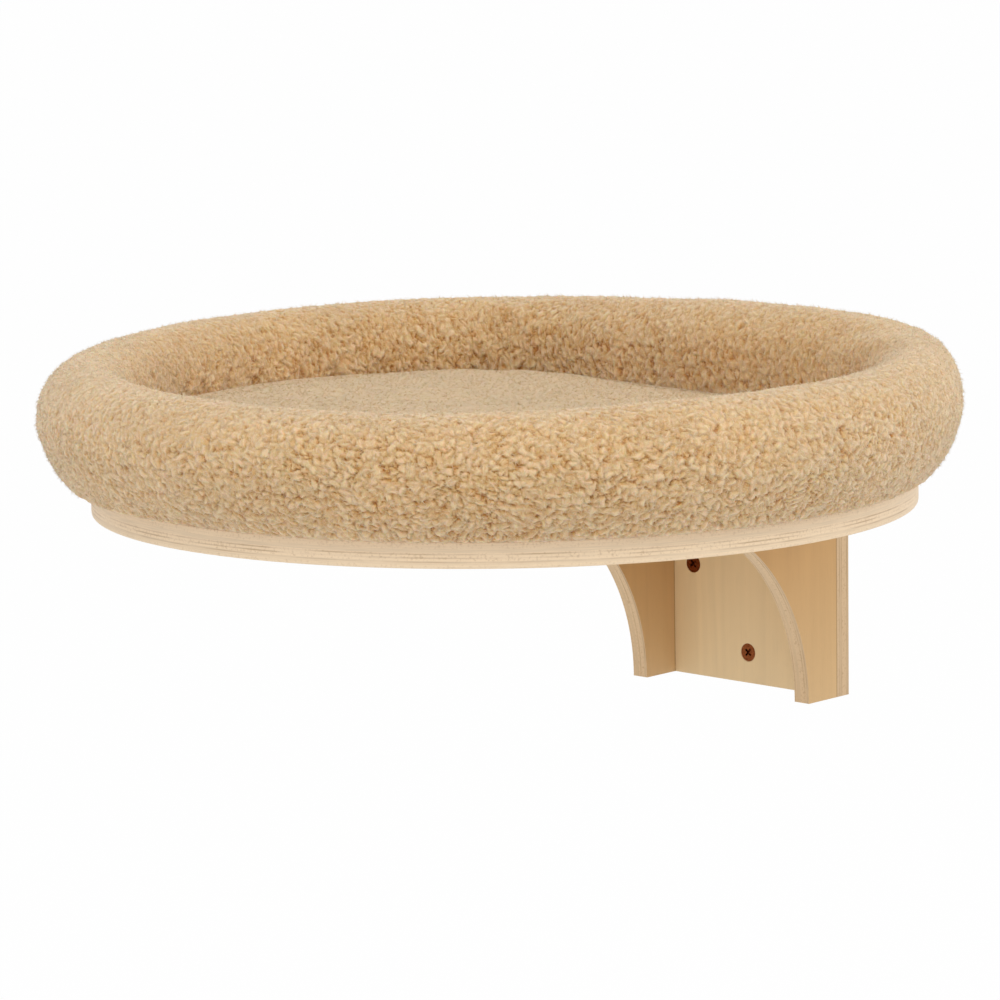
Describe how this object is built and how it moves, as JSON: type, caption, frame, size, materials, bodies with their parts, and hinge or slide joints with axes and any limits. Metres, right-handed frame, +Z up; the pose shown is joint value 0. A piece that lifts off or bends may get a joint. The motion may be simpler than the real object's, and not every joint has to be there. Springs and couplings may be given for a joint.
{
  "type": "wall-mounted cat perch",
  "caption": "Wall-hung cat perch: round plywood shelf on a curved-gusset bracket, with a lift-off plush nest bed.",
  "frame": {"origin": "centre of the back plate's rear face, where it meets the wall", "axes": "+Y into the wall, +Z up, +X to the right for someone facing the wall; the shelf reaches out towards -Y"},
  "size_m": [0.4306, 0.4203, 0.1873],
  "materials": {
    "plywood": "sanded pale birch plywood",
    "bronzed_screw": "bronzed steel, satin",
    "hook_tape": "woven hook tape",
    "loop_tape": "brushed loop tape",
    "bolster_plush": "curly teddy plush",
    "fibre_fill": "loose polyester fibre",
    "pad_plush": "short teddy plush",
    "pad_foam": "open-cell foam",
    "base_cloth": "plain woven cloth"
  },
  "bodies": {
    "bracket": {"back_plate": "plywood", "gusset_left": "plywood", "gusset_right": "plywood", "hook_patch_front_left": "hook_tape", "hook_patch_front_right": "hook_tape", "hook_patch_rear_left": "hook_tape", "hook_patch_rear_right": "hook_tape", "plate_screw_left_lower": "bronzed_screw", "plate_screw_left_upper": "bronzed_screw", "plate_screw_right_lower": "bronzed_screw", "plate_screw_right_upper": "bronzed_screw", "shelf_disc": "plywood", "shelf_screw_left_front": "bronzed_screw", "shelf_screw_left_rear": "bronzed_screw", "shelf_screw_right_front": "bronzed_screw", "shelf_screw_right_rear": "bronzed_screw", "wall_screw_bottom": "bronzed_screw", "wall_screw_left": "bronzed_screw", "wall_screw_right": "bronzed_screw"},
    "bed": {"bed_base_cloth": "base_cloth", "bolster_cover": "bolster_plush", "bolster_fill": "fibre_fill", "loop_patch_front_left": "loop_tape", "loop_patch_front_right": "loop_tape", "loop_patch_rear_left": "loop_tape", "loop_patch_rear_right": "loop_tape", "pad_cover": "pad_plush", "pad_foam": "pad_foam"}
  },
  "joints": [
    {"name": "bed_lift", "type": "slide", "parent": "bracket", "child": "bed", "axis": [0, 0, 1], "range_m": [0, 0.15]}
  ]
}
